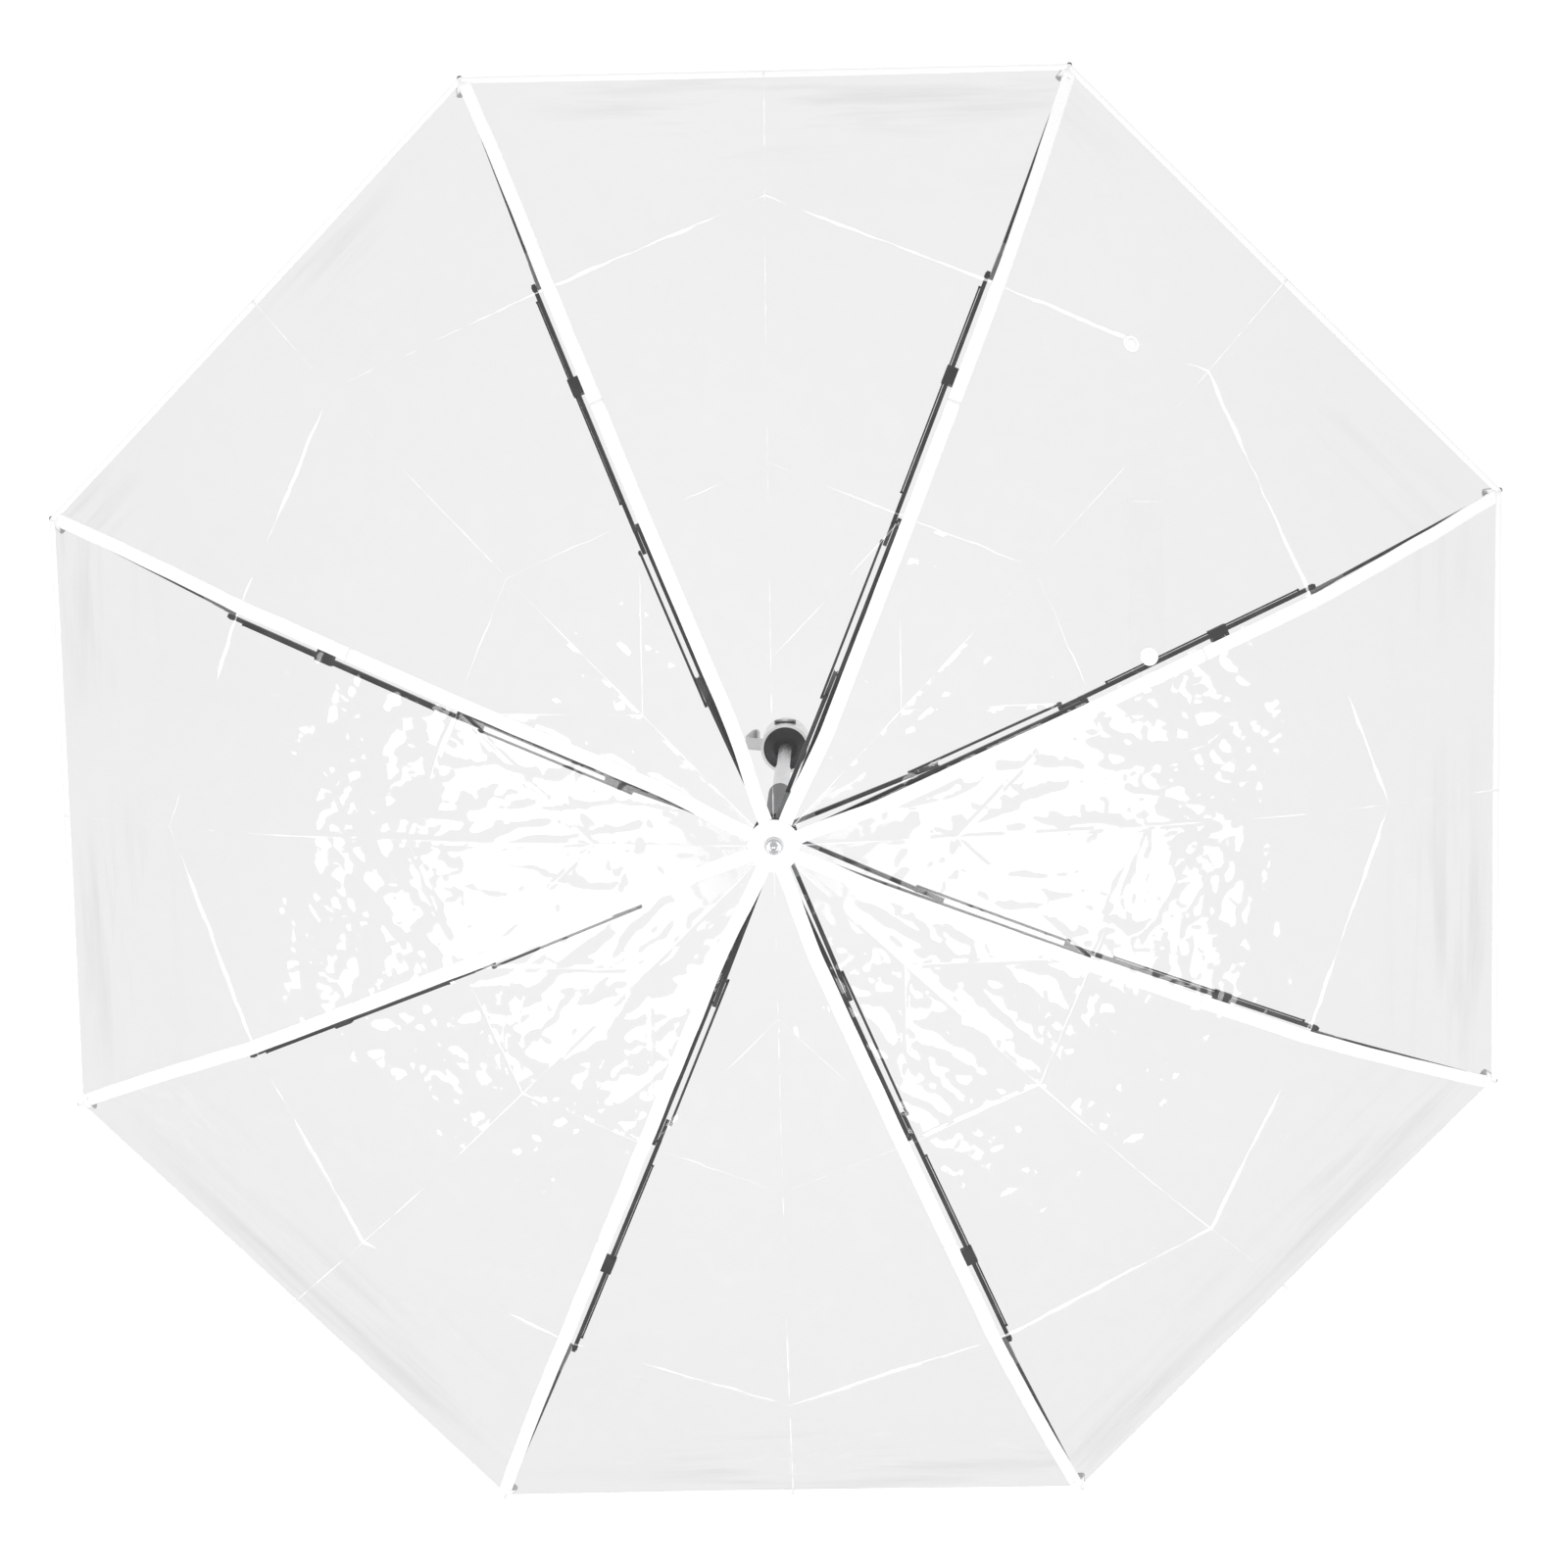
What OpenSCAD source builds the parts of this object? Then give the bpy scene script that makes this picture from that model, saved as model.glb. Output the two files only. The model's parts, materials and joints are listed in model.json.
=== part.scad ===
// Compact automatic umbrella with a clear film canopy, standing open and held upright.
// The origin is the middle of the grip, on the shaft's axis, and +Z points up the shaft.
// Each arm is drawn in its own plane: X runs out from the shaft, and rotate([0, a, 0]) droops by a.
// The members of an arm lie side by side in three lanes, so that they can fold past each other.
// They are drawn towards -Y, and the arm is mirrored, so that the lanes lie on its counterclockwise side.

/* [Canopy frame] */
// Number of arms round the crown
arm_count = 8; // [8:1:8]
// Height of the crown's hinge wire above the grip
crown_z = 518; // [500:1:530]
// Radius of the hinge wires in the crown and in the runner
wire_ring_r = 11; // [11:0.5:12]
// Length of the top rib between its two hinges
top_len = 188; // [180:1:190]
// Length of the middle rib between its two hinges
mid_len = 160; // [150:1:162]
// Length of the tip rib from its hinge to its end
tip_len = 172; // [160:1:174]
// Droop of the open top rib
top_droop = 11; // [10:0.5:13]
// Droop of the open middle rib
mid_droop = 18.5; // [17:0.5:21]
// Droop of the open tip rib
tip_droop = 35; // [32:0.5:38]
// Distance of the stretcher's pivot from the crown's wire, and the stretcher's length
pivot_len = 93; // [88:1:94]
// Length of the stretcher's ear that drives the connecting rod
stretcher_ear = 14.5; // [14:0.1:15]
// Length of the middle rib's tail that the connecting rod meets
rib_tail = 14.08; // [13.6:0.01:14.6]

/* [Canopy film] */
// Thickness of the clear film
film_t = 0.2; // [0.15:0.05:0.4]
// Height of the film above the ribs' hinge lines
film_lift = 3.2; // [3.1:0.1:3.5]
// Width of the white tape along each rib
tape_w = 8.5; // [6:0.5:9]
// Width of the binding along the rim
binding_w = 5; // [3:0.5:6]
// Width of the closure strap
closure_w = 22; // [18:1:25]
// Length of the closure strap
closure_len = 102; // [90:1:110]

/* [Shaft] */
// Radius of the outer tube, fixed in the crown
outer_r = 7.3; // [7.2:0.05:7.3]
// Radius of the middle tube
middle_r = 5.4; // [5.3:0.1:5.5]
// Radius of the inner tube, fixed in the handle
inner_r = 4.5; // [4.4:0.1:4.5]
// Height of the outer tube's lower end
outer_z = 296; // [294:1:298]
// Height of the middle tube's lower end
middle_z = 169; // [168:1:170]
// Height of the inner tube's lower end
inner_z = 0.5; // [0.5:0.5:1]

/* [Handle] */
// Radius of the straight part of the grip
grip_r = 17; // [16.5:0.1:17.2]
// Radius of the handle at its mouth
mouth_r = 17.6; // [17.4:0.1:18]
// Height of the handle's mouth
mouth_z = 42; // [41:1:43]
// Depth of the handle's end below the origin
end_z = 24; // [22:1:26]
// Radius of the rounding at the handle's end
end_round = 11; // [9:0.5:12]
// Radius of the push button
button_r = 7.8; // [7:0.1:8]
// Height of the push button's centre
button_z = 21; // [20:0.5:22]
// Height of the wrist strap's pin
strap_z = 16; // [16:0.5:17]
// Distance of the wrist strap's pin from the shaft's axis
strap_x = 15; // [14.8:0.1:15.1]
// Width of the wrist strap
strap_w = 9; // [8:0.5:9.5]

/* [Hidden] */
$fn = 48;

arm_step = 360 / arm_count;
half_step = arm_step / 2;
first_arm = half_step;

// Lanes across an arm: 0 holds the top and tip ribs, 1 the stretcher and middle rib, 2 the rod
lane_1 = -2.8;
lane_2 = -5;

// Folded sheet of the ribs: width, height and thickness in each lane
rib_w = 2.6;
rib_h = 3.6;
bar_w = 2.4;
bar_h = 3.4;
rod_w = 1.4;
rod_h = 2;
sheet_t = 0.45;

// Rivets, their heads, and the clearance of a hole round a pin
pin_r = 0.9;
pin_head_r = 1.6;
pin_head_t = 0.5;
running_gap = 0.05;
press_gap = 0.02;

// Hinge wires and the eyes round them
wire_r = 0.45;
wire_play = 0.17;
wire_groove = 0.07;
eye_r = 1.7;
loose_eye_r = 0.95;
ear_r = 1.9;
ear_pin_r = 0.75;

// Solid tongue that joins the top rib's eye to its channel, and how far a channel passes its last hinge
tongue_w = 2;
tongue_h = 2.4;
tongue_len = 6;
top_channel_start = 3.4;
top_overrun = 2.4;
mid_overrun = 2.2;
mid_channel_start = -1.9;

// Moulded shoe at the stretcher's inner end
shoe_start = pivot_len - 16;
shoe_len = 15;
shoe_h = 3;
stretcher_overrun = 2;

// Riveted end of the connecting rod
rod_end_r = 1.1;
rod_end_out = 0.4;

// How far a cutting body passes the surface it cuts
past = 1;

// Hinge points of an open arm, as [distance from the shaft's axis, height]
function reach(p, droop, len) = [p[0] + len * cos(droop), p[1] - len * sin(droop)];
crown_pt = [wire_ring_r, crown_z];
pivot_pt = reach(crown_pt, top_droop, pivot_len);
elbow_pt = reach(crown_pt, top_droop, top_len);
knee_pt = reach(elbow_pt, mid_droop, mid_len);
tip_pt = reach(knee_pt, tip_droop, tip_len);
runner_z = crown_z - 2 * pivot_len * sin(top_droop);
runner_ring_r = norm([wire_ring_r, lane_1]);
runner_up = 4;
runner_down = 28;

// The ear stands this far above the stretcher, and the tail this far below the middle rib
ear_angle = 8;
tail_angle = 5.75;
tail_w = 2.2;
tail_h = 2.4;
tail_low = -1;
tail_eye_r = 1.5;

// Places along the middle rib
clip_at = 94;
clip_len = 11;
clip_w = 7.1;
clip_h = 4.1;
clip_low = -2.2;
clip_lip = 0.9;
wire_start = 18;
wire_end = 152;
wire_low = -1.2;
wire_y = lane_2 + 0.2;
spring_wire_r = 0.5;
hook_r = 0.65;

// The tip rib's joint block, rod and end cap
block_len = 6;
taper_len = 18;
taper_r = 1.5;
taper_end_r = 1.3;
tip_rod_r = 1.1;
tip_cap_len = 8;
tip_cap_r = 1.5;
tip_ball_r = 1.9;

// The canopy's line over a rib: flat over the crown, then a lift above each hinge
crown_top = 4;
crown_r = 13.5;
crown_h = 9;
crown_slot_w = 3;
finial_stem_r = 2.45;
crown_slot_up = 1.9;
slot_floor_r = 8.9;
lift_mid = (top_droop + mid_droop) / 2;
lift_knee = (mid_droop + tip_droop) / 2;
hole_r = 3.4;
star_r = 14.9;
film_line = [
    [hole_r, crown_z + 6.2],
    [crown_r + 1, crown_z + 5.4],
    reach(elbow_pt, lift_mid - 90, film_lift),
    reach(knee_pt, lift_knee - 90, film_lift),
    reach(reach(knee_pt, tip_droop, tip_len - 2), tip_droop - 90, film_lift)
];
rim_r = film_line[4][0];
rim_z = film_line[4][1];

plug_z = crown_z - 11;
tube_top = crown_z + 1;
tube_wall = 0.6;
thin_wall = 0.5;
bush_len = 6;
stop_len = 4;
plug_len = 5;
middle_len = 206;
inner_len = 239.5;
handle_wall = 2;
collar_floor = 33;
collar_floor_t = 3;
collar_r = 15.4;
collar_bore = 8;
strap_pin_r = 0.8;
strap_pin_half = 6.2;
pin_hole_half = 6.3;
strap_wall = 1.3;
strap_slot_w = 10.4;
strap_slot_h = 10;
post_r = 6;
post_z = 12;

module spoke(k) {
    rotate([0, 0, first_arm + (k - 1) * arm_step]) children();
}

module arm(k) {
    spoke(k) mirror([0, 1, 0]) children();
}

// Places children at a hinge point of the arm, with X along a member that droops by the angle
module member(p, droop) {
    translate([p[0], 0, p[1]]) rotate([0, droop, 0]) children();
}

// A round bar across the arm between two places on Y
module cross_bar(r, y0, y1) {
    translate([0, y0, 0]) rotate([-90, 0, 0]) cylinder(r = r, h = y1 - y0, $fn = 32);
}

// A folded steel channel, open on the side that faces down
module channel(x0, x1, y, w, h) {
    difference() {
        translate([x0, y - w / 2, -h / 2]) cube([x1 - x0, w, h]);
        translate([x0 - past, y - w / 2 + sheet_t, -h / 2 - past])
            cube([x1 - x0 + 2 * past, w - 2 * sheet_t, h + past - sheet_t]);
    }
}

// A rivet from lane 0 into lane 1
module rivet() {
    cross_bar(pin_r, lane_1 - bar_w / 2, rib_w / 2);
    cross_bar(pin_head_r, rib_w / 2 - running_gap, rib_w / 2 + pin_head_t);
}

module top_rib(k) {
    color("dimgray") arm(k) member(crown_pt, top_droop) {
        difference() {
            union() {
                cross_bar(eye_r, -tongue_w / 2, tongue_w / 2);
                translate([0, -tongue_w / 2, -tongue_h / 2]) cube([tongue_len, tongue_w, tongue_h]);
                channel(top_channel_start, top_len + top_overrun, 0, rib_w, rib_h);
            }
            cross_bar(wire_r + wire_play, -past - tongue_w, past + tongue_w);
        }
        translate([pivot_len, 0, 0]) rivet();
        translate([top_len, 0, 0]) rivet();
    }
}

// The stretcher runs inward from its pivot on the top rib, so its own down side faces up
module stretcher(k) {
    color("dimgray") arm(k) member(pivot_pt, 180 - top_droop) {
        difference() {
            union() {
                rotate([180, 0, 0]) mirror([0, 1, 0])
                    channel(-stretcher_overrun, shoe_start + stretcher_overrun, lane_1, bar_w, bar_h);
                translate([shoe_start, lane_1 - bar_w / 2, -shoe_h / 2]) cube([shoe_len, bar_w, shoe_h]);
                translate([pivot_len, 0, 0]) cross_bar(ear_r, lane_1 - bar_w / 2, lane_1 + bar_w / 2);
                rotate([0, ear_angle, 0]) translate([stretcher_ear, 0, 0])
                    cross_bar(ear_r, lane_1 - bar_w / 2, lane_1 + bar_w / 2);
            }
            cross_bar(pin_r + running_gap, lane_1 - bar_w, lane_1 + bar_w);
            translate([pivot_len, 0, 0]) cross_bar(loose_eye_r, lane_1 - bar_w, lane_1 + bar_w);
        }
        rotate([0, ear_angle, 0]) translate([stretcher_ear, 0, 0])
            cross_bar(ear_pin_r, lane_2 - rod_w / 2, lane_1);
    }
}

ear_pt = reach(pivot_pt, 180 - top_droop + ear_angle, stretcher_ear);
tail_pt = reach(elbow_pt, mid_droop + 180 - tail_angle, rib_tail);
rod_len = norm(tail_pt - ear_pt);
rod_droop = atan2(ear_pt[1] - tail_pt[1], tail_pt[0] - ear_pt[0]);

module connecting_rod(k) {
    color("dimgray") arm(k) member(ear_pt, rod_droop) difference() {
        union() {
            translate([0, lane_2 - rod_w / 2, -rod_h / 2]) cube([rod_len, rod_w, rod_h]);
            cross_bar(eye_r, lane_2 - rod_w / 2, lane_2 + rod_w / 2);
            translate([rod_len, 0, 0]) cross_bar(eye_r, lane_2 - rod_w / 2, lane_2 + rod_w / 2);
            translate([rod_len, 0, 0]) cross_bar(rod_end_r, lane_2 - rod_w / 2 - rod_end_out, lane_2);
        }
        cross_bar(ear_pin_r + running_gap, lane_2 - rod_w, lane_2 + rod_w);
    }
}

module mid_rib(k) {
    color("dimgray") arm(k) member(elbow_pt, mid_droop) {
        difference() {
            union() {
                channel(mid_channel_start, mid_len + mid_overrun, lane_1, bar_w, bar_h);
                // Tail behind the hinge, which stays under the film
                rotate([0, 180 - tail_angle, 0]) {
                    translate([0, lane_1 - tail_w / 2, tail_low]) cube([rib_tail, tail_w, tail_h]);
                    translate([rib_tail, 0, 0]) cross_bar(tail_eye_r, lane_1 - tail_w / 2, lane_1 + tail_w / 2);
                }
            }
            cross_bar(pin_r + running_gap, lane_1 - bar_w, lane_1 + bar_w);
        }
        // Rivet of the tip rib's hinge, reaching into lane 0
        translate([mid_len, 0, 0]) {
            cross_bar(pin_r, lane_1 - bar_w / 2, rib_w / 2);
            cross_bar(pin_head_r, lane_1 - bar_w / 2 - pin_head_t, lane_1 - bar_w / 2 + running_gap);
        }
        // Clip that guides the spring wire
        translate([clip_at - clip_len / 2, lane_2 - clip_lip, clip_low]) cube([clip_len, clip_w, clip_h]);
        // Spring wire beside the rib, with its two hooked ends
        translate([wire_start, wire_y, wire_low]) rotate([0, 90, 0])
            cylinder(r = spring_wire_r, h = wire_end - wire_start, $fn = 16);
        for (x = [wire_start, wire_end])
            translate([x, 0, wire_low]) cross_bar(hook_r, wire_y - hook_r, lane_1);
    }
}

module tip_rib(k) {
    color("dimgray") arm(k) member(knee_pt, tip_droop) {
        difference() {
            union() {
                cross_bar(bar_h / 2, -rib_w / 2, rib_w / 2);
                translate([0, -rib_w / 2, -bar_h / 2]) cube([block_len, rib_w, bar_h]);
                translate([block_len - past, 0, 0]) rotate([0, 90, 0])
                    cylinder(r1 = taper_r, r2 = taper_end_r, h = taper_len - block_len + past, $fn = 24);
                rotate([0, 90, 0]) translate([0, 0, block_len])
                    cylinder(r = tip_rod_r, h = tip_len - block_len, $fn = 24);
                translate([tip_len - tip_cap_len, 0, 0]) rotate([0, 90, 0])
                    cylinder(r = tip_cap_r, h = tip_cap_len, $fn = 24);
                translate([tip_len, 0, 0]) sphere(r = tip_ball_r, $fn = 24);
            }
            cross_bar(pin_r + running_gap, -rib_w, rib_w);
        }
    }
}

// A ring of round wire about the shaft
module wire_ring(ring_r, r, z) {
    translate([0, 0, z]) rotate_extrude($fn = 96) translate([ring_r, 0]) circle(r = r, $fn = 24);
}

module crown() {
    color("gainsboro") difference() {
        translate([0, 0, crown_z + crown_top - crown_h]) cylinder(r = crown_r, h = crown_h);
        // Seat of the outer tube
        translate([0, 0, crown_z - crown_h]) cylinder(r = outer_r + press_gap, h = crown_h + tube_top - crown_z);
        // Slots for the top ribs, open below
        for (k = [1 : arm_count]) arm(k)
            translate([slot_floor_r, -crown_slot_w / 2, crown_z - crown_h])
                cube([crown_r, crown_slot_w, crown_h + crown_slot_up]);
        wire_ring(wire_ring_r, wire_r + wire_groove, crown_z);
        translate([0, 0, tube_top]) cylinder(r = finial_stem_r + running_gap, h = crown_h);
    }
}

module crown_wire() {
    color("silver") wire_ring(wire_ring_r, wire_r, crown_z);
}

module finial_cap() {
    cap_r = 4.4;
    cap_h = 3;
    cap_z = crown_z + 7.1;
    bevel = 1.4;
    bevel_h = 1.6;
    knob_r = 1.1;
    knob_h = 2.4;
    color("silver") {
        translate([0, 0, tube_top]) cylinder(r = finial_stem_r, h = cap_z - tube_top + past);
        translate([0, 0, cap_z]) cylinder(r = cap_r, h = cap_h);
        translate([0, 0, cap_z + cap_h]) cylinder(r1 = cap_r, r2 = cap_r - bevel, h = bevel_h);
        translate([0, 0, cap_z + cap_h]) cylinder(r = knob_r, h = knob_h);
    }
}

module outer_tube() {
    color("#222222") {
        difference() {
            translate([0, 0, outer_z]) cylinder(r = outer_r, h = tube_top - outer_z);
            translate([0, 0, outer_z - past]) cylinder(r = outer_r - tube_wall, h = crown_z - outer_z);
        }
        // Bush in the lower end, which guides the middle tube
        difference() {
            translate([0, 0, outer_z]) cylinder(r = outer_r - tube_wall / 2, h = bush_len);
            translate([0, 0, outer_z - past]) cylinder(r = middle_r + running_gap, h = bush_len + 2 * past);
        }
        // Plug in the upper end, which the main spring pushes
        translate([0, 0, plug_z]) cylinder(r = outer_r - tube_wall / 2, h = plug_len);
    }
}

// A thin tube with a guide ring inside its lower end and a stop ring round its upper end
module sliding_tube(r, z, len, guide_r, stop_r) {
    difference() {
        union() {
            translate([0, 0, z]) cylinder(r = r, h = len);
            translate([0, 0, z + len - stop_len]) cylinder(r = stop_r, h = stop_len);
        }
        translate([0, 0, z + (guide_r > 0 ? stop_len : -past)]) cylinder(r = r - thin_wall, h = len + past);
        if (guide_r > 0) translate([0, 0, z - past]) cylinder(r = guide_r, h = stop_len + 2 * past);
    }
}

module middle_tube() {
    color("silver") sliding_tube(middle_r, middle_z, middle_len, inner_r + running_gap,
        outer_r - tube_wall - running_gap);
}

module inner_tube() {
    color("silver") sliding_tube(inner_r, inner_z, inner_len, 0, middle_r - thin_wall - running_gap);
}

// A coil of round wire about Z, from the origin up
module coil(turns, height, r, wire, steps, sides) {
    count = turns * steps;
    function ring_point(i, j) = let(a = 360 * i / steps, b = 360 * j / sides)
        [(r + wire * cos(b)) * cos(a), (r + wire * cos(b)) * sin(a), height * i / count + wire * sin(b)];
    points = [for (i = [0 : count]) for (j = [0 : sides - 1]) ring_point(i, j)];
    walls = [for (i = [0 : count - 1]) for (j = [0 : sides - 1])
        let(n = (j + 1) % sides) [i * sides + j, (i + 1) * sides + j, (i + 1) * sides + n, i * sides + n]];
    foot = [[for (j = [0 : sides - 1]) j]];
    head = [[for (j = [sides - 1 : -1 : 0]) count * sides + j]];
    polyhedron(points, concat(walls, foot, head));
}

module main_spring() {
    turns = 34;
    coil_r = 2.9;
    coil_wire_r = 0.5;
    end_gap = 1.2;
    color("gray") translate([0, 0, inner_z + end_gap])
        coil(turns, plug_z - inner_z - 2 * end_gap, coil_r, coil_wire_r, 10, 5);
}

module runner() {
    sleeve_r = 8.8;
    foot_r = 9.1;
    foot_h = 5;
    flange_r = 13.2;
    flange_h = 4.8;
    slot_w = 2.8;
    slide_gap = 0.06;
    color("dimgray") difference() {
        union() {
            translate([0, 0, runner_z - runner_down]) cylinder(r = sleeve_r, h = runner_down + runner_up);
            translate([0, 0, runner_z - runner_down]) cylinder(r = foot_r, h = foot_h);
            translate([0, 0, runner_z - flange_h / 2]) cylinder(r = flange_r, h = flange_h);
        }
        translate([0, 0, runner_z - runner_down - past])
            cylinder(r = outer_r + slide_gap, h = runner_down + runner_up + 2 * past);
        for (k = [1 : arm_count]) arm(k)
            translate([slot_floor_r, lane_1 - slot_w / 2, runner_z - flange_h])
                cube([crown_r, slot_w, 2 * flange_h]);
        wire_ring(runner_ring_r, wire_r + running_gap, runner_z);
    }
}

module runner_wire() {
    color("silver") wire_ring(runner_ring_r, wire_r, runner_z);
}

// The clear film: one flat panel from hinge line to hinge line in each gore
module canopy() {
    rings = len(film_line);
    top = [for (p = film_line) for (k = [0 : arm_count - 1])
        let(a = first_arm + k * arm_step) [p[0] * cos(a), p[0] * sin(a), p[1] + film_t / 2]];
    bottom = [for (p = top) p - [0, 0, film_t]];
    under = len(top);
    function next(k) = (k + 1) % arm_count;
    upper_faces = [for (i = [0 : rings - 2]) for (k = [0 : arm_count - 1])
        [i * arm_count + next(k), (i + 1) * arm_count + next(k), (i + 1) * arm_count + k, i * arm_count + k]];
    lower_faces = [for (f = upper_faces) [for (j = [3 : -1 : 0]) under + f[j]]];
    last = (rings - 1) * arm_count;
    hole_faces = [for (k = [0 : arm_count - 1]) [under + next(k), next(k), k, under + k]];
    rim_faces = [for (k = [0 : arm_count - 1])
        [last + next(k), under + last + next(k), under + last + k, last + k]];
    color("#f2f6f8") polyhedron(concat(top, bottom), concat(upper_faces, lower_faces, hole_faces, rim_faces));
}

module canopy_trim() {
    tape_t = 0.3;
    tape_gap = 0.12;
    tape_start = 0.02;
    star_z = crown_z + 6.5;
    corner_gap = 4;
    bound_t = 0.8;
    tape_line = [
        film_line[1] * (1 - tape_start) + film_line[2] * tape_start,
        film_line[2], film_line[3], film_line[4]
    ];
    tape_back = [for (i = [3 : -1 : 0]) tape_line[i] + [0, tape_t]];
    panel_slope = atan(tan(tip_droop) / cos(half_step));
    color("white") {
        // White patch round the finial
        difference() {
            translate([0, 0, star_z]) cylinder(r = star_r, h = tape_t);
            translate([0, 0, star_z - past]) cylinder(r = hole_r, h = tape_t + 2 * past);
        }
        // Tapes over the ribs
        for (k = [1 : arm_count]) spoke(k) translate([0, tape_w / 2, film_t / 2 + tape_gap])
            rotate([90, 0, 0]) linear_extrude(tape_w) polygon(concat(tape_line, tape_back));
        // Binding along the rim
        for (k = [1 : arm_count]) rotate([0, 0, k * arm_step])
            translate([rim_r * cos(half_step), 0, rim_z]) rotate([0, panel_slope, 0])
                translate([film_t, corner_gap - rim_r * sin(half_step), film_t - bound_t])
                    cube([binding_w, 2 * (rim_r * sin(half_step) - corner_gap), bound_t]);
    }
}

// The closure strap lies on the film beside the first arm, with its snap end over the rib
strap_t = 0.4;
strap_lift = 1.2;
strap_turn = -24;
strap_end = [42.4, -2];
cap_at = [47.1, 8];
stud_at = [-7.4, -91.8];
snap_lift = 0.15;
panel_tilt = atan(tan(half_step) * sin(mid_droop));

module closure_strap() {
    color("#eef3f6") spoke(1) member(film_line[2], mid_droop) rotate([-panel_tilt, 0, 0])
        translate([strap_end[0], strap_end[1], strap_lift]) rotate([0, 0, strap_turn])
            translate([-closure_w / 2, 0, 0]) cube([closure_w, closure_len, strap_t]);
}

module snap_button() {
    rim_h = 1.2;
    knob_h = 1;
    cylinder(r = 4, h = rim_h, $fn = 32);
    translate([0, 0, rim_h]) cylinder(r = 1.9, h = knob_h, $fn = 32);
}

module snap_buttons() {
    color("white") {
        // Cap on the closure strap
        spoke(1) member(film_line[2], mid_droop) rotate([-panel_tilt, 0, 0])
            translate([cap_at[0], cap_at[1], strap_lift + strap_t + snap_lift]) snap_button();
        // Stud on the film of the next arm
        spoke(2) member(film_line[3], mid_droop) rotate([panel_tilt, 0, 0])
            translate([stud_at[0], stud_at[1], film_t + snap_lift]) snap_button();
    }
}

// Round-ended outline of the handle's side, less a given wall
module handle_outline(wall) {
    corner = end_round - wall;
    inset_x = grip_r - end_round;
    inset_z = end_round - end_z;
    translate([0, -end_z + wall]) square([inset_x, end_round]);
    intersection() {
        translate([inset_x, inset_z]) circle(r = corner, $fn = 96);
        translate([0, -end_z]) square([grip_r, end_round]);
    }
    polygon([
        [0, inset_z], [grip_r - wall, inset_z], [grip_r - wall, 11],
        [mouth_r - wall, mouth_z], [0, mouth_z]
    ]);
}

module handle_shell() {
    color("white") {
        difference() {
            rotate_extrude($fn = 96) handle_outline(0);
            rotate_extrude($fn = 96) handle_outline(handle_wall);
            translate([0, inner_r, button_z]) rotate([-90, 0, 0])
                cylinder(r = button_r + 2 * running_gap, h = mouth_r);
            // Slot of the wrist strap, and the pin's hole on both sides of it
            translate([-mouth_r - past, -strap_slot_w / 2, strap_z - strap_slot_h / 2])
                cube([8, strap_slot_w, strap_slot_h]);
            translate([-strap_x, 0, strap_z])
                cross_bar(strap_pin_r + press_gap, -pin_hole_half, pin_hole_half);
        }
        // Post that holds the inner tube
        difference() {
            translate([0, 0, past - end_z]) cylinder(r = post_r, h = end_z + post_z - past);
            translate([0, 0, inner_z]) cylinder(r = inner_r + press_gap / 2, h = post_z);
        }
    }
}

module handle_collar() {
    color("#1c1c1c") difference() {
        translate([0, 0, collar_floor]) cylinder(r = collar_r, h = mouth_z - collar_floor - 0.5);
        translate([0, 0, collar_floor + collar_floor_t]) cylinder(r = collar_bore, h = mouth_z);
        translate([0, 0, collar_floor - past]) cylinder(r = inner_r + press_gap, h = mouth_z);
        // Dished top
        translate([0, 0, mouth_z - 2.1]) cylinder(r1 = collar_bore + 1, r2 = collar_r - 0.8, h = 1.7);
    }
}

module push_button() {
    face_from = 13;
    face_h = 5.4;
    stem_from = 9.2;
    stem_r = 3;
    plate_from = 11.6;
    plate = [10, 1.6, 18];
    color("#1c1c1c") {
        translate([0, face_from, button_z]) rotate([-90, 0, 0]) cylinder(r = button_r, h = face_h);
        translate([0, stem_from, button_z]) rotate([-90, 0, 0]) cylinder(r = stem_r, h = face_from - stem_from + 0.2);
        // Plate that keeps the button in the grip
        translate([-plate[0] / 2, plate_from, button_z - plate[2] / 2]) cube(plate);
    }
}

module latch() {
    plate = [13, 18.2, 2];
    plate_y = -9;
    plate_z = button_z - plate[2] / 2;
    travel = 2.5;
    hole = inner_r + 0.4;
    color("silver") difference() {
        translate([-plate[0] / 2, plate_y, plate_z]) cube(plate);
        // Long hole round the inner tube, as long as the button's travel
        for (y = [0, travel])
            translate([0, y, plate_z - past]) cylinder(r = hole, h = plate[2] + 2 * past);
        translate([-hole, 0, plate_z - past]) cube([2 * hole, travel, plate[2] + 2 * past]);
    }
}

module button_spring() {
    turns = 5;
    length = 4.5;
    coil_r = 2.2;
    coil_wire_r = 0.3;
    color("silver") translate([0, -14.2, button_z]) rotate([-90, 0, 0])
        coil(turns, length, coil_r, coil_wire_r, 12, 6);
}

// The wrist strap is a loop of flat webbing that hangs from an eye round its pin
module wrist_strap() {
    module loop(shrink) {
        hull() {
            translate([-24.6, 4]) circle(r = 5.5 - shrink, $fn = 32);
            translate([-22.8, -50]) circle(r = 2.6 - shrink, $fn = 32);
        }
    }
    color("whitesmoke") translate([0, strap_w / 2, 0]) rotate([90, 0, 0]) linear_extrude(strap_w) {
        difference() {
            loop(0);
            loop(strap_wall);
        }
        difference() {
            union() {
                translate([-strap_x, strap_z]) circle(r = 2, $fn = 32);
                hull() {
                    translate([-16, strap_z - 0.4]) circle(r = 0.8, $fn = 32);
                    translate([-21.6, 7.4]) circle(r = 0.8, $fn = 32);
                }
            }
            translate([-strap_x, strap_z]) circle(r = strap_pin_r + running_gap, $fn = 32);
        }
    }
}

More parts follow.
